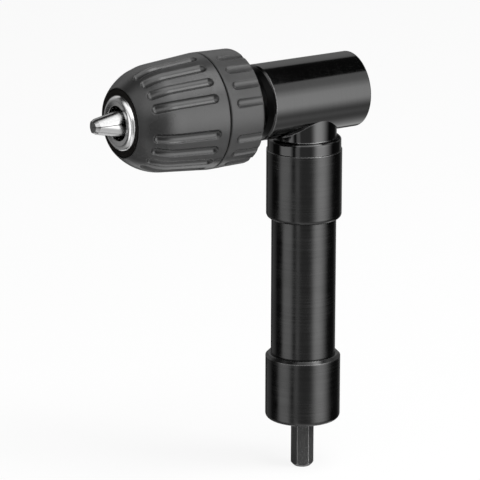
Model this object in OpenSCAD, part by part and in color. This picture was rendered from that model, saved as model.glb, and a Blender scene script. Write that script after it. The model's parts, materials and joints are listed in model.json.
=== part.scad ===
// Right angle drill attachment: a hex shank drives a pair of bevel gears, and
// the output spindle carries a keyless chuck for tools up to 10 mm.
// The origin is the centre of the shank's lower end. +Z runs up the input
// axis and the chuck points towards -X.

/* [Head] */
// Wall of the round gear head, outside its bearing bore
head_wall = 2.5; // [2.3:0.1:3.5]
// Front face of the head, measured from the input axis
head_front = 18.9; // [18.7:0.1:19.6]
// Bevel on the head's front edge
head_bevel = 0.6; // [0.3:0.1:1]
// Rounding of the head's rear edge
head_round = 0.3; // [0.2:0.1:1.5]
// Wall of the stem that drops from the head
stem_wall = 0.7; // [0.6:0.1:1.3]
// Drop from the output axis to the top of the flange
stem_drop = 13.15; // [12.6:0.05:14.4]
// Height of the flange that the upper collar meets
flange_h = 4.05; // [3:0.05:4.6]
// Step from the collar's side in to the flange
flange_step = 0.3; // [0:0.05:0.5]
// Rounding of the flange's top edge
flange_round = 1; // [0.4:0.1:1.4]
// Wall of the spigot inside the upper collar
spigot_wall = 1.3; // [1.1:0.1:1.5]
// Length of the spigot below the flange
spigot_len = 12; // [9:0.5:14]
// Step from the head's side down to the cover that closes its front
cap_step = 0.4; // [0.2:0.1:1.4]
// Fall of the cover's side from the head to its front
cap_fall = 0.9; // [0.3:0.1:1.2]
// Thickness of the front cover outside the head
front_cap_h = 1.9; // [1.4:0.1:2.2]
// Thickness of the plug that closes the head's rear
rear_plug_h = 1.6; // [0.9:0.1:1.8]

/* [Body] */
// Wall of the upper collar round the head's spigot
collar_wall = 1.2; // [0.9:0.1:2]
// Height of the upper collar
upper_collar_h = 22.3; // [20:0.5:26]
// Height of the lower collar
lower_collar_h = 21.7; // [20:0.5:26]
// Length of the tube that shows between the collars
tube_len = 44.9; // [35:0.5:80]
// Step from the collars' sides down to the tube
tube_step = 1.7; // [1.5:0.1:2]
// Wall of the tube
tube_wall = 2.1; // [1.8:0.1:3]
// Depth of the tube inside the upper collar
tube_grip = 9.8; // [6:0.1:10]
// Rounding of the collars' lower edges
collar_round = 1.5; // [0.5:0.1:2]
// Bevel on the lower collar's top edge
collar_bevel = 0.9; // [0.4:0.1:1.2]

/* [Input shaft] */
// Hex shank across flats, for a quarter inch holder
shank_af = 6.35; // [6.2:0.05:6.5]
// Length of hex that stands out of the lower collar
shank_len = 16.4; // [14:0.2:30]
// Bevel at the shank's end
shank_bevel = 1; // [0.5:0.1:1.4]
// Diameter of the shaft between its bearings
shaft_d = 8; // [7.8:0.1:8.4]
// Diameter of the seats that carry the bevel gears
gear_seat_d = 7; // [6.8:0.1:7.2]

/* [Bevel gears] */
// Teeth on each of the two equal gears
gear_teeth = 16; // [16:1:16]
// Module at the large end of the teeth
gear_module = 1; // [0.98:0.01:1.02]
// Length of the teeth along the cone
gear_face = 4; // [3.4:0.1:4.2]
// Distance from the apex to the back of the gear's hub
gear_back = 10.4; // [10.2:0.05:10.6]
// Wall of the gear's hub round its seat
gear_hub_wall = 1.5; // [1.3:0.1:1.7]
// Width of the square keys that drive the gears
key_w = 2; // [1.6:0.1:2.2]

/* [Bearings] */
// Outer diameter of the front and upper bearings
main_outer_d = 19; // [18.8:0.05:19.2]
// Height from bore to outer face of the front and upper bearings
main_section = 4.5; // [4.4:0.05:4.6]
// Width of the front, rear and upper bearings
main_w = 5; // [4.6:0.1:5]
// Height from bore to outer face of the rear bearing
rear_section = 3.6; // [3.5:0.05:3.8]
// Height from bore to outer face of the lower bearing
lower_section = 5.5; // [5.4:0.05:5.6]
// Width of the lower bearing
lower_w = 6; // [5.5:0.1:6]
// Balls in each ball bearing
ball_count = 8; // [6:1:8]

/* [Chuck] */
// Gap between the head's cover and the chuck's rear ring
chuck_gap = 5.7; // [5.4:0.1:7]
// Length of the rear ring
ring_len = 12.4; // [12:0.1:13]
// Length of the turning sleeve
sleeve_len = 28.8; // [28.8:0.1:30]
// Largest diameter, at the seam between ring and sleeve
sleeve_d = 36.5; // [36.2:0.1:38]
// Fall of the rear ring's side towards the head
ring_fall = 0.2; // [0:0.05:0.5]
// Fall of the sleeve's side before its nose starts to curve
sleeve_fall = 1.45; // [1.1:0.05:1.6]
// Sleeve's straight length, from the seam to the curve
taper_len = 16.9; // [16.5:0.1:17.5]
// Diameter of the steel nose
nose_d = 17.5; // [17:0.1:17.6]
// Width of the dark gap between the steel nose and the sleeve
mouth_gap = 2; // [1.6:0.05:2.2]
// Width of the sleeve's edge round its mouth
mouth_edge = 0.15; // [0.1:0.05:0.5]
// Stand-out of the steel nose past the sleeve
nose_out = 1.4; // [0.8:0.1:1.8]
// Diameter of the largest tool shank
capacity_d = 10; // [9.8:0.1:10]

/* [Jaws] */
// Diameter of each jaw
jaw_d = 6.4; // [6.2:0.05:6.5]
// Slant of the jaws against the chuck's axis
jaw_slant = 14; // [13.8:0.05:14.2]
// Stand-out of the closed jaws past the sleeve
jaw_out = 9.75; // [8:0.05:10.2]
// Length of a jaw behind the point where the three axes cross
jaw_tail = 22.5; // [21:0.1:22.6]

/* [Grip] */
// Width of the sleeve's grooves
groove_w = 3.2; // [2.6:0.1:3.4]
// Depth of the sleeve's grooves
groove_depth = 1.1; // [0.7:0.05:1.15]
// Depth of the rear ring's grooves
ring_groove_depth = 0.9; // [0.6:0.05:1]
// Distance from the seam to the sleeve's grooves
groove_seam_gap = 3.4; // [3:0.1:5]
// Distance from the sleeve's grooves to its front
groove_front_gap = 2.9; // [2.6:0.1:5]
// Distance from the rear ring's grooves to the seam
ring_groove_gap = 2.3; // [1.8:0.1:3]
// Groups of grooves round the chuck
groove_groups = 4; // [3:1:4]
// Grooves in each group
grooves_per_group = 4; // [2:1:4]

/* [Hidden] */
$fn = 64;

// Shared clearances and the overrun that carries a cut past a face
overrun = 0.5;
run_gap = 0.3;
slide_gap = 0.05;
ball_gap = 0.05;
face_gap = 0.1;

// Heights along the input axis, from the shank's end up
collar_bottom_z = shank_len;
tube_bottom_show_z = collar_bottom_z + lower_collar_h;
upper_collar_z = tube_bottom_show_z + tube_len;
seam_z = upper_collar_z + upper_collar_h;
flange_top_z = seam_z + flange_h;
cross_z = flange_top_z + stem_drop;
spigot_bottom_z = seam_z - spigot_len;
tube_top_z = upper_collar_z + tube_grip;

// Bevel gear geometry: both cones meet at 45 degrees at the crossing
pressure_angle = 20;
pitch_cone = 45;
base_cone = asin(sin(pitch_cone) * cos(pressure_angle));
flank_steps = 4;
backlash_share = 0.05;
backlash = backlash_share * gear_module;
dedendum_share = 1.25;
dedendum = dedendum_share * gear_module;
pitch_r = gear_module * gear_teeth / 2;
cone_len = pitch_r / sin(pitch_cone);
toe_len = cone_len - gear_face;
tip_cone = pitch_cone + atan(gear_module / cone_len);
root_cone = pitch_cone - atan(dedendum / cone_len);
gear_outer_r = cone_len / cos(tip_cone - pitch_cone) * sin(tip_cone);
rim_share = 1.3;
gear_rim_z = pitch_r + rim_share * gear_module;
gear_rim_r = 2 * pitch_r - gear_rim_z;
gear_toe_z = toe_len * cos(pitch_cone);
chamber_gap = 0.4;
chamber_r = gear_outer_r + chamber_gap;
chamber_end = gear_rim_z + chamber_gap;
gear_hub_d = gear_seat_d + 2 * gear_hub_wall;

// Bearings, and the walls that follow them outwards
seat_step = 0.1;
main_bore_d = main_outer_d - 2 * main_section;
rear_bore_d = gear_seat_d - 2 * seat_step;
rear_outer_d = rear_bore_d + 2 * rear_section;
lower_outer_d = shaft_d + 2 * lower_section;
rear_bearing_end = gear_back + main_w;
head_bore_d = max(main_outer_d, 2 * chamber_r);
head_d = head_bore_d + 2 * head_wall;
stem_d = head_bore_d + 2 * stem_wall;
spigot_d = main_outer_d + 2 * spigot_wall;
collar_d = spigot_d + 2 * collar_wall;
tube_d = collar_d - 2 * tube_step;
tube_bore_d = tube_d - 2 * tube_wall;
plug_gap = 0.2;
plug_back = rear_bearing_end + plug_gap;
head_rear = plug_back + rear_plug_h;

// Places along the output axis, counted forward from the crossing
main_bearing_back = head_front - main_w - slide_gap;
front_cap_front = head_front + front_cap_h;
chuck_back = front_cap_front + chuck_gap;
collar_stand = 1.8;
spindle_collar_front = front_cap_front + collar_stand;
thread_step = 0.25;
spindle_thread_d = main_bore_d - 2 * thread_step;
spindle_thread_len = 8.9;
thread_end = spindle_collar_front + spindle_thread_len;
web_h = 1.5;
pocket_bottom = thread_end + web_h;
seam_gap = 0.3;
seam = chuck_back + ring_len;
sleeve_back = seam + seam_gap;
sleeve_front = sleeve_back + sleeve_len - seam_gap;
nose_front = sleeve_front + nose_out;
jaw_tip = sleeve_front + jaw_out;
jaw_tip_past_cross = 5;
jaw_cross = jaw_tip - jaw_tip_past_cross;
jaw_hole_r = jaw_d / 2 + slide_gap;

// Clips, seals and small pieces
clip_t = 1;
clip_depth = 0.6;
clip_reach = 0.9;
clip_gap_w = 3;
seal_t = 1.2;
plug_rim = 1.2;
plug_dish = 0.2;
screw_d = 5;
screw_head_d = 9;
screw_len = 11;
screw_socket_af = 2.5;
screw_socket_depth = 1.1;

// Turned positions: the closed jaws meet in a line 8 degrees up from -Y
chuck_turn = 8;
groove_step = 360 / (groove_groups * (grooves_per_group + 1));
ring_turn = -8.5;

// Moves its children to the output axis, with their +Z pointing forward
module on_output() {
    translate([0, 0, cross_z])
        rotate([0, -90, 0])
            children();
}

// Turns its children round the output axis, counted from -Y towards +Z
module clocked(angle) {
    rotate([0, 0, angle - 90])
        children();
}

// A ring along +Z between two heights
module ring(outer_d, inner_d, z0, z1) {
    difference() {
        translate([0, 0, z0])
            cylinder(d = outer_d, h = z1 - z0);
        translate([0, 0, z0 - overrun])
            cylinder(d = inner_d, h = z1 - z0 + 2 * overrun);
    }
}

// A round bar along +Z between two heights
module bar(d, z0, z1) {
    translate([0, 0, z0])
        cylinder(d = d, h = z1 - z0);
}

// A round bar with a bevel at its top, its bottom, or both
module bevelled_bar(d, z0, z1, bottom, top) {
    r = d / 2;
    rotate_extrude()
        polygon([
            [0, z0], [r - bottom, z0], [r, z0 + bottom],
            [r, z1 - top], [r - top, z1], [0, z1]
        ]);
}

// A round bar whose lower edge is rounded
module rounded_foot_bar(d, z0, z1, round_r, top) {
    r = d / 2;
    rotate_extrude() {
        polygon([
            [0, z0], [r - round_r, z0], [r - round_r, z0 + round_r],
            [r, z0 + round_r], [r, z1 - top], [r - top, z1], [0, z1]
        ]);
        intersection() {
            translate([r - round_r, z0 + round_r])
                circle(r = round_r);
            translate([r - round_r, z0])
                square(round_r);
        }
    }
}

// Ball bearings

ball_share = 0.132;
land_share = 0.55;
cage_width_share = 0.35;
cage_height_share = 1.2;

function ball_circle_r(bore_d, outer_d) = (bore_d + outer_d) / 4;
function ball_r(bore_d, outer_d) = (outer_d - bore_d) * ball_share;
function land_offset(bore_d, outer_d) = ball_r(bore_d, outer_d) * land_share;

module race_groove(bore_d, outer_d, mid) {
    translate([0, 0, mid])
        rotate_extrude()
            translate([ball_circle_r(bore_d, outer_d), 0])
                circle(r = ball_r(bore_d, outer_d) + ball_gap);
}

module bearing_outer(bore_d, outer_d, z0, z1) {
    land = ball_circle_r(bore_d, outer_d) + land_offset(bore_d, outer_d);
    difference() {
        ring(outer_d, 2 * land, z0, z1);
        race_groove(bore_d, outer_d, (z0 + z1) / 2);
    }
}

module bearing_inner(bore_d, outer_d, z0, z1) {
    land = ball_circle_r(bore_d, outer_d) - land_offset(bore_d, outer_d);
    difference() {
        ring(2 * land, bore_d, z0, z1);
        race_groove(bore_d, outer_d, (z0 + z1) / 2);
    }
}

// Balls with the crown cage that spaces them
module bearing_balls(bore_d, outer_d, z0, z1) {
    mid = (z0 + z1) / 2;
    circle_r = ball_circle_r(bore_d, outer_d);
    r = ball_r(bore_d, outer_d);
    cage_half = r * cage_width_share;
    cage_h = r * cage_height_share;
    difference() {
        ring(2 * (circle_r + cage_half), 2 * (circle_r - cage_half),
            mid - cage_h, mid + cage_h / 2);
        for (i = [0:ball_count - 1])
            rotate([0, 0, i * 360 / ball_count])
                translate([circle_r, 0, mid])
                    sphere(r = r + ball_gap, $fn = 32);
    }
    for (i = [0:ball_count - 1])
        rotate([0, 0, i * 360 / ball_count])
            translate([circle_r, 0, mid])
                sphere(r = r, $fn = 32);
}

// Inner clip that snaps into a groove in a bore
module bore_clip(bore_d, z0) {
    difference() {
        ring(bore_d + 2 * clip_depth, bore_d - 2 * clip_reach, z0, z0 + clip_t);
        translate([0, -clip_gap_w / 2, z0 - overrun])
            cube([bore_d, clip_gap_w, clip_t + 2 * overrun]);
    }
}

// Outer clip that snaps into a groove in a shaft
module shaft_clip(shaft_size, z0) {
    difference() {
        ring(shaft_size + 2 * clip_reach, shaft_size - 2 * clip_depth,
            z0, z0 + clip_t);
        translate([0, -clip_gap_w / 2, z0 - overrun])
            cube([shaft_size, clip_gap_w, clip_t + 2 * overrun]);
    }
}

// Bevel gears

// Angle that a spherical involute has turned at a given cone angle
function roll_angle(cone) = acos(min(1, cos(cone) / cos(base_cone)));
function involute_turn(cone) =
    roll_angle(cone) / sin(base_cone)
    - atan(tan(roll_angle(cone)) / sin(base_cone));
function half_tooth(cone) =
    90 / gear_teeth - backlash / pitch_r * 180 / PI
    + involute_turn(pitch_cone) - involute_turn(max(cone, base_cone));

// Cone angle and turn of each point of one tooth, from root to tip to root
flank_cones = concat(
    [root_cone],
    [for (i = [0:flank_steps]) base_cone + (tip_cone - base_cone) * i / flank_steps]
);
tooth_outline = concat(
    [for (c = flank_cones) [c, -half_tooth(c)]],
    [for (i = [len(flank_cones) - 1:-1:0]) [flank_cones[i], half_tooth(flank_cones[i])]]
);
gear_outline = [
    for (t = [0:gear_teeth - 1])
        for (p = tooth_outline)
            [p[0], p[1] + t * 360 / gear_teeth]
];

// Point of the outline where it meets the end cone at a given cone distance
function on_end_cone(p, cone_dist) =
    let (reach = cone_dist / cos(p[0] - pitch_cone))
    [
        reach * sin(p[0]) * cos(p[1]),
        reach * sin(p[0]) * sin(p[1]),
        reach * cos(p[0])
    ];

module gear_teeth_body() {
    n = len(gear_outline);
    toe = [for (p = gear_outline) on_end_cone(p, toe_len)];
    heel = [for (p = gear_outline) on_end_cone(p, cone_len)];
    rim = [
        for (p = gear_outline)
            [gear_rim_r * cos(p[1]), gear_rim_r * sin(p[1]), gear_rim_z]
    ];
    toe_mid = len(toe) + len(heel) + len(rim);
    rim_mid = toe_mid + 1;
    polyhedron(
        points = concat(toe, heel, rim, [[0, 0, gear_toe_z], [0, 0, gear_rim_z]]),
        faces = concat(
            [for (i = [0:n - 1]) [toe_mid, i, (i + 1) % n]],
            [for (i = [0:n - 1]) [i, n + i, (i + 1) % n]],
            [for (i = [0:n - 1]) [(i + 1) % n, n + i, n + (i + 1) % n]],
            [for (i = [0:n - 1]) [n + i, 2 * n + i, n + (i + 1) % n]],
            [for (i = [0:n - 1]) [n + (i + 1) % n, 2 * n + i, 2 * n + (i + 1) % n]],
            [for (i = [0:n - 1]) [rim_mid, 2 * n + (i + 1) % n, 2 * n + i]]
        )
    );
}

key_reach = 0.8;
key_len = 3.5;
key_front = gear_back - key_len;

module key_block(gap) {
    translate([gear_seat_d / 2 - key_w / 2 - gap, -key_w / 2 - gap, key_front - gap])
        cube([key_w / 2 + key_reach + 2 * gap, key_w + 2 * gap, gear_back - key_front + gap]);
}

module bevel_gear() {
    difference() {
        union() {
            gear_teeth_body();
            bar(gear_hub_d, gear_rim_z - overrun, gear_back);
        }
        bar(gear_seat_d, -overrun, gear_back + overrun);
        key_block(slide_gap);
        translate([0, 0, overrun])
            key_block(slide_gap);
    }
}

// Points its children, drawn with the gear's apex at the origin, down the shaft
module down_input() {
    translate([0, 0, cross_z])
        rotate([180, 0, 0])
            children();
}

// Points its children, drawn with the gear's apex at the origin, to the rear
module to_rear() {
    translate([0, 0, cross_z])
        rotate([0, 90, 0])
            rotate([0, 0, 180 / gear_teeth])
                children();
}

// Gear head

module head_shell() {
    on_output()
        rotate_extrude() {
            r = head_d / 2;
            polygon([
                [0, head_front], [r - head_bevel, head_front],
                [r, head_front - head_bevel], [r, -head_rear + head_round],
                [r - head_round, -head_rear + head_round],
                [r - head_round, -head_rear], [0, -head_rear]
            ]);
            intersection() {
                translate([r - head_round, -head_rear + head_round])
                    circle(r = head_round);
                translate([r - head_round, -head_rear])
                    square(head_round);
            }
        }
    bar(stem_d, seam_z, cross_z);
    translate([0, 0, flange_top_z])
        rotate([180, 0, 0])
            rounded_foot_bar(collar_d - 2 * flange_step, 0, flange_h, flange_round, 0);
    bar(spigot_d, spigot_bottom_z, seam_z + overrun);
}

module head_housing() {
    color([0.07, 0.07, 0.08])
        difference() {
            head_shell();
            on_output() {
                bar(head_bore_d, -chamber_end, main_bearing_back - 2 * clip_t);
                bar(main_outer_d, main_bearing_back - 2 * clip_t - overrun,
                    head_front + overrun);
                bar(gear_hub_d + 2 * run_gap, -gear_back - overrun, 0);
                bar(rear_outer_d, -head_rear - overrun, -gear_back);
                ring(main_outer_d + 2 * clip_depth, main_bore_d,
                    main_bearing_back - clip_t, main_bearing_back);
            }
            bar(2 * chamber_r, cross_z - gear_back - overrun, cross_z);
            bar(main_outer_d, spigot_bottom_z - overrun, cross_z - gear_back);
            translate([0, 0, upper_clip_z])
                cylinder(d = main_outer_d + 2 * clip_depth, h = clip_t);
        }
}

spindle_collar_step = 1.5;
spindle_collar_d = main_bore_d + 2 * spindle_collar_step;
seal_w = 1.45;
seal_inner_d = spindle_collar_d + 2 * run_gap;
seal_outer_d = seal_inner_d + 2 * seal_w;
cap_hole_gap = 0.5;
cap_hole_d = spindle_collar_d + 2 * cap_hole_gap;
front_cap_d = head_d - 2 * cap_step;

module front_cap() {
    color([0.05, 0.05, 0.06])
        on_output()
            difference() {
                translate([0, 0, head_front])
                    cylinder(d1 = front_cap_d, d2 = front_cap_d - 2 * cap_fall, h = front_cap_h);
                bar(cap_hole_d, head_front - overrun, front_cap_front + overrun);
                bar(seal_outer_d, head_front - overrun, head_front + seal_t);
            }
}

module spindle_seal() {
    color([0.12, 0.12, 0.12])
        on_output()
            ring(seal_outer_d, seal_inner_d, head_front, head_front + seal_t);
}

module rear_plug() {
    color([0.07, 0.07, 0.08])
        on_output()
            difference() {
                bar(rear_outer_d, -head_rear, -plug_back);
                bar(rear_outer_d - 2 * plug_rim, -head_rear - overrun,
                    -head_rear + plug_dish);
            }
}

module front_bearing_outer() {
    color("silver")
        on_output()
            bearing_outer(main_bore_d, main_outer_d, main_bearing_back,
                main_bearing_back + main_w);
}

module front_bearing_inner() {
    color("silver")
        on_output()
            bearing_inner(main_bore_d, main_outer_d, main_bearing_back,
                main_bearing_back + main_w);
}

module front_bearing_balls() {
    color("gold")
        on_output()
            bearing_balls(main_bore_d, main_outer_d, main_bearing_back,
                main_bearing_back + main_w);
}

module front_bearing_clip() {
    color("dimgray")
        on_output()
            bore_clip(main_outer_d, main_bearing_back - clip_t);
}

module rear_bearing_outer() {
    color("silver")
        on_output()
            bearing_outer(rear_bore_d, rear_outer_d, -rear_bearing_end, -gear_back);
}

module rear_bearing_inner() {
    color("silver")
        on_output()
            bearing_inner(rear_bore_d, rear_outer_d, -rear_bearing_end, -gear_back);
}

module rear_bearing_balls() {
    color("gold")
        on_output()
            bearing_balls(rear_bore_d, rear_outer_d, -rear_bearing_end, -gear_back);
}

// Input column

upper_bearing_z = cross_z - gear_back - main_w;
upper_clip_z = upper_bearing_z - clip_t;
floor_h = 2.2;
lower_bearing_z = collar_bottom_z + floor_h + seal_t;
lower_bearing_top_z = lower_bearing_z + lower_w;
tube_bottom_z = lower_bearing_top_z;
shaft_shoulder_step = 1;
shaft_shoulder_d = main_bore_d + 2 * shaft_shoulder_step;
shaft_shoulder_h = 3;
lower_shoulder_step = 1.5;
lower_shoulder_d = shaft_d + 2 * lower_shoulder_step;
hex_corner_d = shank_af / cos(30);
shaft_hole_d = shaft_d + 4 * run_gap;
lower_seal_w = 3.65;
lower_seal_d = shaft_hole_d + 2 * lower_seal_w;
shaft_top_z = cross_z - gear_toe_z + run_gap;

module upper_bearing_outer() {
    color("silver")
        bearing_outer(main_bore_d, main_outer_d, upper_bearing_z, upper_bearing_z + main_w);
}

module upper_bearing_inner() {
    color("silver")
        bearing_inner(main_bore_d, main_outer_d, upper_bearing_z, upper_bearing_z + main_w);
}

module upper_bearing_balls() {
    color("gold")
        bearing_balls(main_bore_d, main_outer_d, upper_bearing_z, upper_bearing_z + main_w);
}

module upper_bearing_clip() {
    color("dimgray")
        bore_clip(main_outer_d, upper_clip_z);
}

module upper_collar() {
    color([0.09, 0.09, 0.1])
        difference() {
            rounded_foot_bar(collar_d, upper_collar_z, seam_z, collar_round, 0);
            bar(tube_d, upper_collar_z - overrun, tube_top_z);
            bar(spigot_d, tube_top_z, seam_z + overrun);
        }
}

module body_tube() {
    color([0.09, 0.09, 0.1])
        ring(tube_d, tube_bore_d, tube_bottom_z, tube_top_z);
}

module lower_collar() {
    color([0.09, 0.09, 0.1])
        difference() {
            rounded_foot_bar(collar_d, collar_bottom_z, tube_bottom_show_z,
                collar_round, collar_bevel);
            bar(shaft_hole_d, collar_bottom_z - overrun, tube_bottom_z);
            bar(lower_seal_d, collar_bottom_z + floor_h, tube_bottom_z);
            bar(lower_outer_d, lower_bearing_z, tube_bottom_z);
            bar(tube_d, tube_bottom_z, tube_bottom_show_z + overrun);
        }
}

module shaft_seal() {
    color([0.12, 0.12, 0.12])
        ring(lower_seal_d, shaft_hole_d, collar_bottom_z + floor_h, lower_bearing_z);
}

module lower_bearing_outer() {
    color("silver")
        bearing_outer(shaft_d, lower_outer_d, lower_bearing_z, lower_bearing_top_z);
}

module lower_bearing_inner() {
    color("silver")
        bearing_inner(shaft_d, lower_outer_d, lower_bearing_z, lower_bearing_top_z);
}

module lower_bearing_balls() {
    color("gold")
        bearing_balls(shaft_d, lower_outer_d, lower_bearing_z, lower_bearing_top_z);
}

module hex_shank(z1) {
    intersection() {
        rotate([0, 0, 30])
            cylinder(d = hex_corner_d, h = z1, $fn = 6);
        bevelled_bar(hex_corner_d, 0, z1, shank_bevel, 0);
    }
}

module input_shaft() {
    color([0.16, 0.16, 0.17])
        difference() {
            union() {
                hex_shank(collar_bottom_z + floor_h);
                bar(shaft_d, collar_bottom_z + floor_h / 2, upper_bearing_z);
                bar(lower_shoulder_d, lower_bearing_top_z, lower_bearing_top_z + clip_t);
                bar(shaft_shoulder_d, upper_bearing_z - shaft_shoulder_h, upper_bearing_z);
                bar(main_bore_d, upper_bearing_z, upper_bearing_z + main_w);
                bevelled_bar(gear_seat_d, upper_bearing_z + main_w, shaft_top_z, 0,
                    run_gap);
            }
            down_input()
                key_block(0);
        }
}

module input_gear() {
    color([0.62, 0.62, 0.64])
        down_input()
            bevel_gear();
}

module input_key() {
    color("dimgray")
        down_input()
            key_block(0);
}

// Output spindle

neck_step = 0.5;
spindle_neck_d = gear_seat_d + 2 * neck_step;
spindle_neck_back = -gear_toe_z + 2 * run_gap;
spindle_end = -rear_bearing_end + run_gap;

module output_spindle() {
    color([0.55, 0.55, 0.57])
        difference() {
            union() {
                on_output() {
                    bar(rear_bore_d, spindle_end, -gear_back);
                    bar(gear_seat_d, -gear_back, spindle_neck_back);
                    bar(spindle_neck_d, spindle_neck_back, main_bearing_back - clip_t);
                    bar(main_bore_d, main_bearing_back - 2 * clip_t,
                        main_bearing_back + main_w);
                    bar(spindle_collar_d, main_bearing_back + main_w,
                        spindle_collar_front);
                    bevelled_bar(spindle_thread_d, spindle_collar_front - overrun,
                        thread_end, 0, run_gap);
                }
            }
            to_rear()
                key_block(0);
            on_output() {
                bar(screw_d, pocket_bottom - screw_len, thread_end + overrun);
                ring(main_bore_d + overrun, main_bore_d - 2 * clip_depth,
                    main_bearing_back - clip_t, main_bearing_back);
            }
        }
}

module output_gear() {
    color([0.62, 0.62, 0.64])
        to_rear()
            bevel_gear();
}

module output_key() {
    color("dimgray")
        to_rear()
            key_block(0);
}

module spindle_clip() {
    color("dimgray")
        on_output()
            shaft_clip(main_bore_d, main_bearing_back - clip_t);
}

// Chuck, drawn with +Z forward and then laid on the output axis

hub_wall = 2.75;
hub_d = spindle_thread_d + 2 * hub_wall;
ring_rear_d = sleeve_d - 2 * ring_fall;
ring_wall = 2.65;
body_d = ring_rear_d - 2 * ring_wall;
body_step = 1;
body_front_d = body_d - 2 * body_step;
ring_round = 0.9;
pocket_gap = 0.15;
pocket_d = capacity_d + 2 * pocket_gap;
pocket_len = 4.4;
throat_gap = 0.35;
throat_d = pocket_d + 2 * throat_gap;
body_recess = 0.5;
body_back = chuck_back + body_recess;
race_t = 1;
thrust_ball_r = 1.2;
thrust_ball_count = 12;
nut_len = 5.8;
nut_back = jaw_cross - jaw_tail * cos(jaw_slant);
race_front = nut_back - 2 * thrust_ball_r - slide_gap;
shoulder_front = race_front - race_t;
race_w = 2.8;
race_inner_r = jaw_line_r(shoulder_front, jaw_d / 2) + run_gap;
thrust_circle_r = race_inner_r + race_w / 2;
nut_front = nut_back + nut_len;
band_step = 0.2;
band_d = body_front_d - 2 * band_step;
band_wall = 1;
nut_d = band_d - 2 * band_wall;
nut_bore_front_r = jaw_line_r(nut_front, jaw_d / 2) + face_gap;
core_d = 2 * (nut_bore_front_r - run_gap);
neck_back = nut_front + run_gap;
lip_r = 1.8;
nose_dish = 0.25;

function jaw_line_r(s, r) = r / cos(jaw_slant) + (jaw_cross - s) * tan(jaw_slant);

// Places its children along one jaw's slanted axis, with +Z towards the tip
module jaw_axis(i) {
    clocked(chuck_turn + 60 + i * 120)
        translate([0, 0, jaw_cross])
            rotate([0, -jaw_slant, 0])
                children();
}

module jaw_holes() {
    for (i = [0:2])
        jaw_axis(i)
            translate([0, 0, -jaw_cross])
                cylinder(r = jaw_hole_r, h = jaw_cross + 2 * jaw_out);
}

module nose_profile() {
    r = nose_d / 2;
    polygon([
        [0, neck_back], [r, neck_back], [r, nose_front - lip_r],
        [r - lip_r, nose_front - lip_r], [r - lip_r, nose_front],
        [throat_d / 2, nose_front - nose_dish], [0, nose_front - nose_dish]
    ]);
    intersection() {
        translate([r - lip_r, nose_front - lip_r])
            circle(r = lip_r);
        translate([r - lip_r, nose_front - lip_r])
            square(lip_r);
    }
}

module chuck_body() {
    color([0.75, 0.75, 0.77])
        on_output()
            difference() {
                union() {
                    bevelled_bar(hub_d, spindle_collar_front, body_back + overrun, head_bevel, 0);
                    bar(body_d, body_back, seam);
                    bar(body_front_d, seam - overrun, shoulder_front);
                    bar(core_d, shoulder_front - overrun, neck_back + overrun);
                    rotate_extrude()
                        nose_profile();
                }
                bar(spindle_thread_d, spindle_collar_front - overrun, thread_end);
                bar(screw_d, thread_end - overrun, pocket_bottom);
                bar(pocket_d, pocket_bottom, pocket_bottom + pocket_len);
                bar(throat_d, pocket_bottom + pocket_len, nose_front);
                translate([0, 0, thread_end])
                    cylinder(d1 = screw_d, d2 = screw_head_d, h = web_h);
                jaw_holes();
            }
}

module chuck_screw() {
    color("dimgray")
        on_output()
            difference() {
                union() {
                    bar(screw_d, pocket_bottom - screw_len + slide_gap, thread_end);
                    translate([0, 0, thread_end])
                        cylinder(d1 = screw_d, d2 = screw_head_d, h = web_h);
                }
                translate([0, 0, pocket_bottom - screw_socket_depth])
                    cylinder(d = screw_socket_af / cos(30), h = screw_socket_depth + overrun, $fn = 6);
            }
}

module ring_profile() {
    r_back = ring_rear_d / 2;
    r_front = sleeve_d / 2;
    polygon([
        [body_d / 2, chuck_back], [r_back - ring_round, chuck_back],
        [r_back - ring_round, chuck_back + ring_round], [r_back, chuck_back + ring_round],
        [r_front, seam - seam_gap], [r_front - seam_gap, seam], [body_d / 2, seam]
    ]);
    intersection() {
        translate([r_back - ring_round, chuck_back + ring_round])
            circle(r = ring_round);
        translate([r_back - ring_round, chuck_back])
            square(ring_round);
    }
}

// Turns one groove cutter to every place of the pattern, leaving out the
// places between the groups
module each_groove(turn) {
    places = groove_groups * (grooves_per_group + 1);
    for (k = [0:places - 1])
        if (k % (grooves_per_group + 1) != 0)
            clocked(chuck_turn + turn + k * groove_step)
                children();
}

groove_r = (pow(groove_w / 2, 2) + pow(groove_depth, 2)) / (2 * groove_depth);
ring_groove_r = (pow(groove_w / 2, 2) + pow(ring_groove_depth, 2)) / (2 * ring_groove_depth);
groove_back = seam + groove_seam_gap;
groove_front = sleeve_front - groove_front_gap;
ring_groove_front = seam - ring_groove_gap;

module ring_groove() {
    offset_r = sleeve_d / 2 + ring_groove_r - ring_groove_depth;
    translate([offset_r, 0, ring_groove_front - groove_w / 2]) {
        sphere(r = ring_groove_r);
        translate([0, 0, -ring_len])
            cylinder(r = ring_groove_r, h = ring_len);
    }
}

module rear_ring() {
    color([0.2, 0.2, 0.21])
        on_output()
            difference() {
                rotate_extrude()
                    ring_profile();
                each_groove(ring_turn)
                    ring_groove();
            }
}

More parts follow.
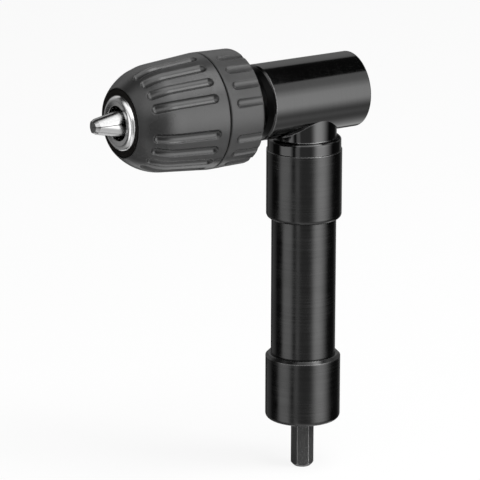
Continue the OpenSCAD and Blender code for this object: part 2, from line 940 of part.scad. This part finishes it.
// The sleeve's outline: a straight taper that runs into an arc
taper_angle = atan(sleeve_fall / taper_len);
dome_start = seam + taper_len;
dome_d = sleeve_d - 2 * sleeve_fall;
mouth_d = nose_d + 2 * mouth_gap;
dome_drop = (dome_d - mouth_d) / 2 - mouth_edge;
dome_len = sleeve_front - dome_start;
dome_r = (pow(dome_drop, 2) + pow(dome_len, 2))
    / (2 * (dome_drop * cos(taper_angle) - dome_len * sin(taper_angle)));
dome_centre_r = dome_d / 2 - dome_r * cos(taper_angle);
dome_centre_s = dome_start - dome_r * sin(taper_angle);
mouth_depth = 2.4;
liner_d = nose_d + 2 * run_gap;
sleeve_run_d = body_front_d + 2 * run_gap;
dome_wall = 3.6;
inner_front = sleeve_front - 2 * mouth_depth;
inner_front_r = dome_centre_r + sqrt(pow(dome_r, 2) - pow(inner_front - dome_centre_s, 2))
    - dome_wall;

module sleeve_profile() {
    difference() {
        union() {
            polygon([
                [0, sleeve_back], [sleeve_d / 2 - seam_gap, sleeve_back],
                [sleeve_d / 2, sleeve_back + seam_gap],
                [dome_d / 2, dome_start], [0, dome_start]
            ]);
            intersection() {
                translate([dome_centre_r, dome_centre_s])
                    circle(r = dome_r, $fn = 96);
                translate([0, dome_start])
                    square([sleeve_d / 2, sleeve_front - dome_start]);
            }
        }
        polygon([
            [0, sleeve_back - overrun], [sleeve_run_d / 2, sleeve_back - overrun],
            [sleeve_run_d / 2, nut_back], [band_d / 2, nut_back],
            [band_d / 2, nut_front], [inner_front_r, inner_front],
            [liner_d / 2, inner_front],
            [liner_d / 2, sleeve_front - mouth_depth],
            [mouth_d / 2, sleeve_front - mouth_depth],
            [mouth_d / 2, sleeve_front + overrun], [0, sleeve_front + overrun]
        ]);
    }
}

// One scooped groove that follows the taper and then the arc
module sleeve_groove() {
    out = groove_r - groove_depth;
    front_turn = asin((groove_front - groove_w / 2 - dome_centre_s) / (dome_r + out));
    straight = (dome_start - groove_back - groove_w / 2) / cos(taper_angle);
    translate([dome_centre_r, 0, dome_centre_s]) {
        rotate([90, 0, 0])
            rotate([0, 0, taper_angle])
                rotate_extrude(angle = front_turn - taper_angle)
                    translate([dome_r + out, 0])
                        circle(r = groove_r);
        rotate([0, -front_turn, 0])
            translate([dome_r + out, 0, 0])
                sphere(r = groove_r);
        rotate([0, -taper_angle, 0])
            translate([dome_r + out, 0, -straight]) {
                cylinder(r = groove_r, h = straight);
                sphere(r = groove_r);
            }
    }
}

module front_sleeve() {
    color([0.2, 0.2, 0.21])
        on_output()
            difference() {
                rotate_extrude()
                    sleeve_profile();
                each_groove(0)
                    sleeve_groove();
            }
}

module nose_ring() {
    color([0.03, 0.03, 0.03])
        on_output()
            ring(mouth_d - 2 * run_gap, nose_d, sleeve_front - mouth_depth + run_gap,
                sleeve_front);
}

// Split nut that drives the jaws, and the thrust bearing behind it

module nut_solid() {
    rotate_extrude()
        polygon([
            [jaw_line_r(nut_back, jaw_d / 2) + face_gap, nut_back],
            [nut_d / 2, nut_back], [nut_d / 2, nut_front],
            [nut_bore_front_r, nut_front]
        ]);
}

module nut_half(side) {
    color([0.5, 0.48, 0.42])
        on_output()
            intersection() {
                nut_solid();
                translate([side > 0 ? 0 : -nut_d, -nut_d, nut_back - overrun])
                    cube([nut_d, 2 * nut_d, nut_len + 2 * overrun]);
            }
}

module nut_half_front() {
    nut_half(1);
}

module nut_half_back() {
    nut_half(-1);
}

module nut_band() {
    color("dimgray")
        on_output()
            ring(band_d, nut_d, nut_back, nut_front);
}

module thrust_race() {
    color("silver")
        on_output()
            ring(2 * (race_inner_r + race_w), 2 * race_inner_r, shoulder_front, race_front);
}

module thrust_balls() {
    color("gold")
        on_output()
            for (i = [0:thrust_ball_count - 1])
                rotate([0, 0, i * 360 / thrust_ball_count])
                    translate([thrust_circle_r, 0, race_front + thrust_ball_r + slide_gap / 2])
                        sphere(r = thrust_ball_r, $fn = 32);
}

// Jaws: a slanted rod cut to a third of the circle, so that three of them meet

tip_chamfer = 0.35;
tip_chamfer_len = 1.1;
jaw_reach = (jaw_tip_past_cross - jaw_d / 2 * sin(jaw_slant)) / cos(jaw_slant);
chamfer_start = jaw_reach - tip_chamfer_len;
chamfer_end = jaw_reach + tip_chamfer_len;

module jaw(i) {
    far = 2 * jaw_d;
    color([0.82, 0.82, 0.84])
        on_output()
            intersection() {
                jaw_axis(i)
                    rotate_extrude()
                        polygon([
                            [0, -jaw_tail], [jaw_d / 2, -jaw_tail],
                            [jaw_d / 2, chamfer_start],
                            [jaw_d / 2 - 2 * tip_chamfer, chamfer_end], [0, chamfer_end]
                        ]);
                clocked(chuck_turn + 60 + i * 120)
                    translate([slide_gap, 0, jaw_cross - jaw_tail - jaw_d])
                        linear_extrude(height = jaw_tip - jaw_cross + jaw_tail + jaw_d)
                            polygon([
                                [0, 0], [far, -far * tan(60)], [2 * far, 0],
                                [far, far * tan(60)]
                            ]);
            }
}

module jaw_1() {
    jaw(0);
}

module jaw_2() {
    jaw(1);
}

module jaw_3() {
    jaw(2);
}

head_housing();
front_cap();
rear_plug();
spindle_seal();
front_bearing_outer();
front_bearing_clip();
rear_bearing_outer();
upper_bearing_outer();
upper_bearing_clip();
upper_collar();
body_tube();
lower_collar();
lower_bearing_outer();
shaft_seal();
input_shaft();
input_gear();
input_key();
upper_bearing_inner();
lower_bearing_inner();
output_spindle();
output_gear();
output_key();
front_bearing_inner();
spindle_clip();
rear_bearing_inner();
front_bearing_balls();
rear_bearing_balls();
upper_bearing_balls();
lower_bearing_balls();
chuck_body();
chuck_screw();
rear_ring();
nose_ring();
thrust_race();
thrust_balls();
front_sleeve();
nut_half_front();
nut_half_back();
nut_band();
jaw_1();
jaw_2();
jaw_3();
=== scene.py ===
# Right angle drill attachment: the finishes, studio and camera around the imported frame
import json
import math

import bpy
from mathutils import Matrix, Vector

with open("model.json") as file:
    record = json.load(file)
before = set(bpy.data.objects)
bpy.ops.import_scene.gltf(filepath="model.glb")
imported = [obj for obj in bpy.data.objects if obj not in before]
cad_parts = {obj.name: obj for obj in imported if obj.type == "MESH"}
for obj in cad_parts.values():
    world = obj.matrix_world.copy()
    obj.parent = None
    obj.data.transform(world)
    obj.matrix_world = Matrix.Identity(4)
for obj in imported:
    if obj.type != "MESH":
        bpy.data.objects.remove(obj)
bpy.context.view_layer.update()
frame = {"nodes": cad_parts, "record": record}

# Camera: the photograph's view, fitted to the outline. Places are in metres,
# angles in degrees, the lens and the sensor in mm.
CAMERA_AIM = Vector((-0.0241, 0.0, 0.0789))
CAMERA_AZIMUTH = -33.03
CAMERA_ELEVATION = 15.81
CAMERA_ROLL = 0.13
CAMERA_DISTANCE = 1.1573
CAMERA_LENS = 276.56
CAMERA_SENSOR = 36.0
CAMERA_REACH = 20.0


# Shader helper

class Graph:
    """Adds and links nodes in one node tree."""

    def __init__(self, tree):
        self.tree = tree
        tree.nodes.clear()

    def add(self, kind, inputs=None, **settings):
        node = self.tree.nodes.new(kind)
        for key, value in settings.items():
            setattr(node, key, value)
        for key, value in (inputs or {}).items():
            self.feed(node.inputs[key], value)
        return node

    def feed(self, socket, value):
        if isinstance(value, bpy.types.NodeSocket):
            self.tree.links.new(value, socket)
        else:
            socket.default_value = value

    def math(self, operation, a, b=0.0, c=0.0, clamp=False):
        node = self.add("ShaderNodeMath", operation=operation, use_clamp=clamp)
        for socket, value in zip(node.inputs, (a, b, c)):
            self.feed(socket, value)
        return node.outputs[0]

    def step(self, value, low, high, to_low=0.0, to_high=1.0):
        node = self.add("ShaderNodeMapRange", interpolation_type="SMOOTHSTEP")
        for key, number in zip(("Value", "From Min", "From Max", "To Min", "To Max"),
                               (value, low, high, to_low, to_high)):
            self.feed(node.inputs[key], number)
        return node.outputs["Result"]

    def band(self, value, low, high, soft):
        rise = self.step(value, low - soft, low + soft)
        fall = self.step(value, high - soft, high + soft, 1.0, 0.0)
        return self.math("MULTIPLY", rise, fall)

    def mix_colour(self, share, a, b):
        node = self.add("ShaderNodeMix", data_type="RGBA")
        self.feed(node.inputs["Factor"], share)
        self.feed(node.inputs["A"], a)
        self.feed(node.inputs["B"], b)
        return node.outputs["Result"]

    def noise(self, coordinates, scale, detail=3.0, roughness=0.5, stretch=(1, 1, 1)):
        mapping = self.add("ShaderNodeMapping", {"Vector": coordinates, "Scale": stretch})
        node = self.add("ShaderNodeTexNoise", {"Vector": mapping.outputs[0], "Scale": scale,
                                               "Detail": detail, "Roughness": roughness})
        return node.outputs["Fac"]


def grey(value, warm=0.0):
    """A nearly neutral colour in linear light."""
    return (value * (1 + warm), value, value * (1 - warm), 1.0)


def new_material(name):
    material = bpy.data.materials.new(name)
    material.use_nodes = True
    graph = Graph(material.node_tree)
    shader = graph.add("ShaderNodeBsdfPrincipled")
    output = graph.add("ShaderNodeOutputMaterial")
    graph.feed(output.inputs["Surface"], shader.outputs[0])
    place = graph.add("ShaderNodeTexCoord").outputs["Object"]
    return material, graph, shader, place


BEVEL_SAMPLES = 6
# Most of a noise lies between these levels
NOISE_MIDDLE = (0.3, 0.7)


def rounded_normal(graph, radius):
    """The normal of a surface whose edges look rounded."""
    return graph.add("ShaderNodeBevel", {"Radius": radius}, samples=BEVEL_SAMPLES).outputs[0]


def edge_mask(graph, radius, gain):
    """Near 1 on edges sharper than the radius, and 0 on flats."""
    geometry = graph.add("ShaderNodeNewGeometry")
    turn = graph.add("ShaderNodeVectorMath", operation="DOT_PRODUCT")
    graph.feed(turn.inputs[0], rounded_normal(graph, radius))
    graph.feed(turn.inputs[1], geometry.outputs["Normal"])
    return graph.math("MULTIPLY", graph.math("SUBTRACT", 1.0, turn.outputs["Value"]), gain, clamp=True)


def add_relief(graph, shader, height, depth, strength=1.0, edge_radius=0.0):
    """Fine bumps of the given depth in metres, on edges that look rounded."""
    bump = graph.add("ShaderNodeBump", {"Strength": strength, "Distance": depth, "Height": height})
    if edge_radius:
        graph.feed(bump.inputs["Normal"], rounded_normal(graph, edge_radius))
    graph.feed(shader.inputs["Normal"], bump.outputs[0])


# Turned metal has fine rings round its axis: noise that is long round it and
# short along it. RINGS gives the stretch for parts turned on each axis.
# The jaws are ground lengthwise.
RINGS = {"x": (1.0, 0.02, 0.02), "z": (0.02, 0.02, 1.0), "along_x": (0.03, 1.0, 1.0)}


def turned_metal(name, axis, tone, shine, ring_scale=9000.0, ring_depth=1.2e-6,
                 edge=0.0, edge_radius=0.0004, edge_wear_and_shade_tone=0.5, smudge=0.06, warm=0.0, tone_spread=0.12):
    """Metal turned on a lathe: tone is its reflectance and shine its roughness,
    which smudge varies. Where edge is given, that share of the edges goes to
    edge_wear_and_shade_tone: lighter as wear, dark as painted shade (the jaws)."""
    material, graph, shader, place = new_material(name)
    rings = graph.noise(place, ring_scale, detail=4.0, roughness=0.6, stretch=RINGS[axis])
    cloud = graph.noise(place, 90.0, detail=4.0, roughness=0.6)
    fine = graph.noise(place, 2600.0, detail=3.0, roughness=0.6)
    low, high = tone * (1 - tone_spread), tone * (1 + tone_spread)
    colour = graph.mix_colour(rings, grey(low, warm), grey(high, warm))
    if edge:
        # Edges mix towards the edge tone: lighter edges are wear, and dark ones, as on the jaws, are
        # painted shade.
        edge_mix_share = graph.math("MULTIPLY", edge_mask(graph, edge_radius, gain=9.0),
                          graph.step(fine, 0.35, 0.6, 0.5, 1.0))
        colour = graph.mix_colour(graph.math("MULTIPLY", edge_mix_share, edge), colour, grey(edge_wear_and_shade_tone))
    roughness = graph.math("ADD", graph.step(cloud, *NOISE_MIDDLE, shine - smudge, shine + smudge),
                           graph.step(rings, *NOISE_MIDDLE, -0.03, 0.03))
    shader.inputs["Metallic"].default_value = 1.0
    graph.feed(shader.inputs["Base Color"], colour)
    graph.feed(shader.inputs["Roughness"], roughness)
    add_relief(graph, shader, rings, ring_depth, edge_radius=edge_radius * 0.6)
    return material


# Outer profile of the chuck's grip in mm, measured from the input axis: a slight
# taper from the seam to ARC_START, then an arc to the nose
SEAM = 38.9
ARC_START = 55.8
ARC_CENTRE = 54.25
ARC_RADIUS = 18.146
ARC_OFFSET = -1.28
TAPER = 0.0872
# Depths in mm between which a point counts as more and more inside a groove
GROOVE_EDGE = (0.2, 0.45)
OUTPUT_AXIS_Z = 0.1225
MM_IN_M = 1000.0


def groove_mask(graph, place):
    """1 in the grip's grooves and 0 on its outer surface."""
    x, y, z = graph.add("ShaderNodeSeparateXYZ", {"Vector": place}).outputs
    along = graph.math("MULTIPLY", x, -MM_IN_M)
    up = graph.math("SUBTRACT", z, OUTPUT_AXIS_Z)
    radius = graph.math("SQRT", graph.math("MULTIPLY_ADD", y, y, graph.math("MULTIPLY", up, up)))
    past = graph.math("SUBTRACT", graph.math("MAXIMUM", along, ARC_START), ARC_CENTRE)
    arc = graph.math("SQRT", graph.math("SUBTRACT", ARC_RADIUS ** 2, graph.math("MULTIPLY", past, past)))
    back = graph.math("MINIMUM", graph.math("MAXIMUM", along, SEAM), ARC_START)
    taper = graph.math("MULTIPLY", graph.math("SUBTRACT", ARC_START, back), TAPER)
    outer = graph.math("ADD", graph.math("ADD", arc, taper), ARC_OFFSET)
    depth = graph.math("SUBTRACT", outer, graph.math("MULTIPLY", radius, MM_IN_M))
    return graph.step(depth, *GROOVE_EDGE)


def moulded_plastic(name, tone, shine, grain_depth=4e-6, edge_radius=0.0002, warm=0.0, specular=0.5,
                    groove_shine=None):
    """Moulded plastic with an eroded grain and softened edges: tone is its colour
    and shine its roughness. Where groove_shine is given, the grip's grooves have
    that roughness."""
    material, graph, shader, place = new_material(name)
    grain = graph.noise(place, 5200.0, detail=2.0, roughness=0.55)
    pores = graph.noise(place, 1700.0, detail=3.0, roughness=0.6)
    cloud = graph.noise(place, 70.0, detail=3.0, roughness=0.55)
    dark, light, pore, rubbed = (grey(tone * share, warm) for share in (0.9, 1.1, 0.6, 1.9))
    colour = graph.mix_colour(graph.step(cloud, *NOISE_MIDDLE), dark, light)
    colour = graph.mix_colour(graph.step(pores, 0.45, 0.7, 0.0, 0.25), colour, pore)
    rub = graph.math("MULTIPLY", edge_mask(graph, edge_radius * 1.5, gain=4.0), 0.25)
    colour = graph.mix_colour(rub, colour, rubbed)
    height = graph.math("ADD", grain, graph.math("MULTIPLY", pores, 0.8))
    graph.feed(shader.inputs["Base Color"], colour)
    roughness = graph.step(cloud, 0.25, 0.75, shine - 0.05, shine + 0.05)
    if groove_shine:
        smooth = graph.math("MULTIPLY", groove_mask(graph, place), groove_shine - shine)
        roughness = graph.math("ADD", roughness, smooth)
    graph.feed(shader.inputs["Roughness"], roughness)
    shader.inputs["Specular IOR Level"].default_value = specular
    add_relief(graph, shader, height, grain_depth, strength=0.6, edge_radius=edge_radius)
    return material


# The shank's drawn marks run along Z
DRAWN = (1.0, 1.0, 0.04)
SHANK_TONES = {"dark": 0.045, "light": 0.08, "pit": 0.012, "speck": 0.25, "corner": 0.62}


def blackened_shank(name):
    """Blackened hex steel: drawn lengthwise, with its corners rubbed lighter."""
    material, graph, shader, place = new_material(name)
    tones = {key: grey(tone) for key, tone in SHANK_TONES.items()}
    drawn = graph.noise(place, 5200.0, detail=4.0, roughness=0.6, stretch=DRAWN)
    speck = graph.noise(place, 3200.0, detail=3.0, roughness=0.65)
    colour = graph.mix_colour(drawn, tones["dark"], tones["light"])
    colour = graph.mix_colour(graph.step(speck, 0.3, 0.5, 0.6, 0.0), colour, tones["pit"])
    colour = graph.mix_colour(graph.step(speck, 0.55, 0.7, 0.0, 0.6), colour, tones["speck"])
    edge_mix_share = graph.math("MULTIPLY", edge_mask(graph, 0.0003, gain=12.0),
                      graph.step(speck, 0.3, 0.6, 0.35, 0.9))
    colour = graph.mix_colour(edge_mix_share, colour, tones["corner"])
    shader.inputs["Metallic"].default_value = 0.4
    graph.feed(shader.inputs["Base Color"], colour)
    graph.feed(shader.inputs["Roughness"], graph.step(speck, *NOISE_MIDDLE, 0.36, 0.5))
    add_relief(graph, shader, drawn, 2.5e-6, edge_radius=0.00018)
    return material


def seal_rubber(name):
    """Matt rubber with a fine grain."""
    material, graph, shader, place = new_material(name)
    grain = graph.noise(place, 2400.0, detail=3.0, roughness=0.6)
    graph.feed(shader.inputs["Base Color"], graph.mix_colour(grain, grey(0.012), grey(0.03)))
    graph.feed(shader.inputs["Roughness"], graph.step(grain, *NOISE_MIDDLE, 0.55, 0.75))
    add_relief(graph, shader, grain, 6e-6, strength=0.5)
    return material


# One material for each slot of the record
MATERIALS = {
    "head_black": turned_metal("head_black", "x", tone=0.062, shine=0.1, ring_scale=5200.0,
                               ring_depth=3e-7, edge=0.5, edge_radius=0.0005, smudge=0.025),
    "column_black": turned_metal("column_black", "z", tone=0.054, shine=0.23, ring_scale=2600.0,
                                 ring_depth=8e-6, edge=0.45, edge_radius=0.0005, smudge=0.05,
                                 tone_spread=0.35),
    "shank_steel": blackened_shank("shank_steel"),
    "grip_plastic": moulded_plastic("grip_plastic", tone=0.026, shine=0.3, grain_depth=1.2e-5,
                                    edge_radius=0.00045, specular=0.54, groove_shine=0.16),
    # The nose ring is near black with almost no shine, as painted shade: it stands for the shadow in the
    # gap between the grip and the steel nose.
    "nose_black": moulded_plastic("nose_black", tone=0.004, shine=0.5, edge_radius=0.0001, warm=0.2,
                                  specular=0.08),
    "nose_steel": turned_metal("nose_steel", "x", tone=0.78, shine=0.2, ring_scale=6000.0,
                               ring_depth=8e-7, smudge=0.03, tone_spread=0.05),
    # The jaws' dark edges are painted shade: they stand for the shadow in the seams between the jaws and
    # round their tips.
    "jaw_steel": turned_metal("jaw_steel", "along_x", tone=0.41, shine=0.2, ring_scale=5000.0,
                              ring_depth=1.5e-6, edge=1.0, edge_radius=0.0003, edge_wear_and_shade_tone=0.03,
                              smudge=0.03, tone_spread=0.14),
    "seal_rubber": seal_rubber("seal_rubber"),
    "gear_steel": turned_metal("gear_steel", "x", tone=0.5, shine=0.3, smudge=0.05),
    "clip_steel": turned_metal("clip_steel", "x", tone=0.22, shine=0.4, smudge=0.05),
    "nut_steel": turned_metal("nut_steel", "x", tone=0.36, shine=0.35, warm=0.06),
    "bearing_steel": turned_metal("bearing_steel", "x", tone=0.7, shine=0.14, smudge=0.03),
}

# Nodes whose finish differs a little from their slot's
NODE_MATERIALS = {
    # The front cap is near black, partly as painted shade: it stands for the chuck's shadow in the gap
    # in front of the head.
    "front_cap": turned_metal("cap_black_and_painted_shade", "x", tone=0.006, shine=0.35, ring_scale=5200.0,
                              ring_depth=1e-6),
    "rear_ring": moulded_plastic("ring_plastic", tone=0.036, shine=0.34, grain_depth=1.2e-5,
                                 edge_radius=0.00045, specular=0.52, groove_shine=0.2),
}


def dress_nodes():
    """Gives every CAD node the material of its slot or its own."""
    for part in frame["record"]["subparts"]:
        mesh = frame["nodes"][part["node"]].data
        mesh.materials.clear()
        mesh.materials.append(NODE_MATERIALS.get(part["node"], MATERIALS[part["material_slot"]]))


# Studio

def direction(azimuth, elevation):
    """Unit vector; azimuth 0 is -Y and grows towards +X."""
    a, e = math.radians(azimuth), math.radians(elevation)
    return Vector((math.sin(a) * math.cos(e), -math.cos(a) * math.cos(e), math.sin(e)))


def facing(place, target, roll=0.0):
    """World matrix of a camera or lamp at place that looks at target."""
    back = (place - target).normalized()
    right = Vector((0, 0, 1)).cross(back).normalized()
    up = back.cross(right)
    turn = Matrix((right, up, back)).transposed().to_4x4()
    return Matrix.Translation(place) @ turn @ Matrix.Rotation(math.radians(roll), 4, "Z")


def add_camera():
    data = bpy.data.cameras.new("photo_camera")
    data.lens = CAMERA_LENS
    data.sensor_width = CAMERA_SENSOR
    data.clip_end = CAMERA_REACH
    camera = bpy.data.objects.new("photo_camera", data)
    bpy.context.scene.collection.objects.link(camera)
    place = CAMERA_AIM + direction(CAMERA_AZIMUTH, CAMERA_ELEVATION) * CAMERA_DISTANCE
    camera.matrix_world = facing(place, CAMERA_AIM, CAMERA_ROLL)
    bpy.context.scene.camera = camera


# Square soft boxes that light the object evenly: name, azimuth and elevation in
# degrees, distance and side in metres, and watts
LAMPS = (
    ("right_box", 42.0, 36.0, 1.4, 0.6, 16.0),
    ("top_box", 0.0, 70.0, 1.3, 0.8, 14.0),
)
LAMP_AIM = Vector((-0.02, 0.0, 0.08))


def add_softbox(name, azimuth, elevation, distance, side, watts):
    data = bpy.data.lights.new(name, "AREA")
    data.shape = "SQUARE"
    data.size = side
    data.energy = watts
    lamp = bpy.data.objects.new(name, data)
    bpy.context.scene.collection.objects.link(lamp)
    place = LAMP_AIM + direction(azimuth, elevation) * distance
    lamp.matrix_world = facing(place, LAMP_AIM)
    lamp.visible_glossy = False


# Light that only reflections see. Each sheet has its strength and the masks that
# bound it, multiplied together. A "band" has a start, an end and soft sides of a
# width. A "step" rises from 0 to 1 between two values, or goes between two given
# levels. A "level" is used as it is. Angles are in degrees, and x and y are the
# direction's own.
STUDIO = {
    "right_box": (2.4, ("step", "azimuth", -14.0, 14.0), ("step", "azimuth", 22.0, 66.0, 1.0, 0.0),
                  ("level", "box_height")),
    "box_head": (1.1, ("band", "azimuth", -8.0, 84.0, 14.0), ("step", "elevation", 20.0, 38.0),
                 ("step", "elevation", 46.0, 48.5, 1.0, 0.0)),
    "left_box": (1.55, ("band", "azimuth", -113.0, -74.0, 7.0), ("band", "elevation", -36.0, 12.0, 8.0)),
    "front_strip": (0.9, ("band", "azimuth", -61.0, -48.0, 3.0)),
    "front_fill": (0.27, ("band", "azimuth", -48.0, -8.0, 5.0)),
    "low_sheet": (0.2, ("step", "right_behind", 0.8, 0.97), ("step", "elevation", -4.0, 2.0, 1.0, 0.0)),
    "high_sheet": (2.1, ("step", "behind", 0.4, 0.6), ("step", "elevation", 5.0, 43.0, 0.1, 0.34),
                   ("band", "elevation", 0.0, 42.0, 1.5)),
    "floor_glow": (1.1, ("step", "azimuth", 10.0, 50.0), ("step", "azimuth", 55.0, 115.0, 0.4, 1.0),
                   ("step", "elevation", -46.0, -34.0, 1.0, 0.0)),
    "overhead": (4.5, ("band", "x", -0.13, 0.43, 0.03), ("step", "elevation", 43.0, 51.0),
                 ("step", "y", -0.02, 0.26, 1.0, 0.0), ("step", "x", 0.1, 0.26, 0.1, 1.0)),
    "left_wall": (1.2, ("band", "azimuth", -120.0, 5.0, 10.0), ("band", "elevation", 22.0, 70.0, 10.0)),
    "left_floor": (0.5, ("band", "azimuth", -130.0, 0.0, 14.0),
                   ("step", "elevation", -42.0, -28.0, 1.0, 0.0)),
    "back_left": (0.2, ("step", "azimuth", -140.0, -128.0, 1.0, 0.0), ("level", "beside_gap"),
                  ("band", "elevation", -60.0, 30.0, 10.0)),
}
# Levels of the studio between the sheets, and of the light that isn't reflected
DARK_STUDIO = 0.035
DIFFUSE_LIGHT = 0.04
# Level directions, as x and y, that two sheets face
BEHIND = (0.545, 0.839)
RIGHT_BEHIND = (0.707, 0.707)
# How bright the right box is above and below its middle, where the middle adds 1
BOX_ENDS = 0.42


def studio_coordinates(graph):
    """What the masks of STUDIO are read from, by name."""
    way = graph.add("ShaderNodeTexCoord").outputs["Generated"]
    x, y, z = graph.add("ShaderNodeSeparateXYZ", {"Vector": way}).outputs

    def share_towards(side):
        return graph.math("ADD", graph.math("MULTIPLY", x, side[0]), graph.math("MULTIPLY", y, side[1]))

    azimuth = graph.math("DEGREES", graph.math("ARCTAN2", x, graph.math("MULTIPLY", y, -1.0)))
    elevation = graph.math("DEGREES", graph.math("ARCSINE", z))
    # The right box is brightest in its middle, and its upper part is narrow
    middle = graph.band(elevation, -22.0, 26.0, 14.0)
    lower_or_narrow = graph.math("MAXIMUM", graph.step(x, 0.4, 0.46, 1.0, 0.0),
                                 graph.step(elevation, 24.0, 40.0, 1.0, 0.0))
    # The wall at the back left has a dark gap that the column reflects
    gap = graph.math("MULTIPLY", graph.band(elevation, -26.0, -6.0, 3.0),
                     graph.step(azimuth, -152.0, -144.0))
    return {
        "x": x, "y": y, "azimuth": azimuth, "elevation": elevation,
        "behind": share_towards(BEHIND), "right_behind": share_towards(RIGHT_BEHIND),
        "box_height": graph.math("MULTIPLY", graph.math("ADD", middle, BOX_ENDS), lower_or_narrow),
        "beside_gap": graph.math("SUBTRACT", 1.0, gap),
    }


def add_world():
    """White behind for the camera, boxes and sheets of light for reflections, and
    hardly any light of its own on the object."""
    world = bpy.data.worlds.new("studio")
    bpy.context.scene.world = world
    world.use_nodes = True
    graph = Graph(world.node_tree)
    places = studio_coordinates(graph)
    shapes = {"band": graph.band, "step": graph.step, "level": lambda value: value}
    glow = DARK_STUDIO
    for strength, *masks in STUDIO.values():
        level = strength
        for shape, place, *limits in masks:
            level = graph.math("MULTIPLY", level, shapes[shape](places[place], *limits))
        glow = graph.math("ADD", glow, level)
    ray = graph.add("ShaderNodeLightPath")
    seen = graph.mix_colour(ray.outputs["Is Glossy Ray"], grey(DIFFUSE_LIGHT), glow)
    seen = graph.mix_colour(ray.outputs["Is Camera Ray"], seen, grey(1.0))
    background = graph.add("ShaderNodeBackground", {"Color": seen, "Strength": 1.0})
    output = graph.add("ShaderNodeOutputWorld")
    graph.feed(output.inputs["Surface"], background.outputs[0])


FLOOR_HALF = 6.0
FLOOR_PAINT = (0.84, 0.88)
# How much of the floor's look for the camera is plain white, and not its paint
FLOOR_WHITE = 0.9


def add_floor():
    """Pale floor: the camera sees it nearly white with the object's soft shadow,
    and reflections look through it at the studio."""
    mesh = bpy.data.meshes.new("floor")
    corners = [(FLOOR_HALF * a, FLOOR_HALF * b, 0) for a, b in ((-1, -1), (1, -1), (1, 1), (-1, 1))]
    mesh.from_pydata(corners, [], [(0, 1, 2, 3)])
    floor = bpy.data.objects.new("floor", mesh)
    bpy.context.scene.collection.objects.link(floor)
    material = bpy.data.materials.new("floor_paint")
    material.use_nodes = True
    graph = Graph(material.node_tree)
    place = graph.add("ShaderNodeTexCoord").outputs["Object"]
    paint = graph.mix_colour(graph.noise(place, 40.0), *(grey(tone) for tone in FLOOR_PAINT))
    diffuse = graph.add("ShaderNodeBsdfDiffuse", {"Color": paint})
    white = graph.add("ShaderNodeEmission", {"Color": grey(1.0), "Strength": 1.0})
    clear = graph.add("ShaderNodeBsdfTransparent")
    ray = graph.add("ShaderNodeLightPath")
    whitened = graph.math("MULTIPLY", ray.outputs["Is Camera Ray"], FLOOR_WHITE)
    lift = graph.add("ShaderNodeMixShader", {"Fac": whitened})
    graph.feed(lift.inputs[1], diffuse.outputs[0])
    graph.feed(lift.inputs[2], white.outputs[0])
    surface = graph.add("ShaderNodeMixShader", {"Fac": ray.outputs["Is Glossy Ray"]})
    graph.feed(surface.inputs[1], lift.outputs[0])
    graph.feed(surface.inputs[2], clear.outputs[0])
    output = graph.add("ShaderNodeOutputMaterial")
    graph.feed(output.inputs["Surface"], surface.outputs[0])
    mesh.materials.append(material)


dress_nodes()
add_camera()
add_world()
add_floor()
for lamp_row in LAMPS:
    add_softbox(*lamp_row)

bpy.context.scene.view_settings.view_transform = "Standard"
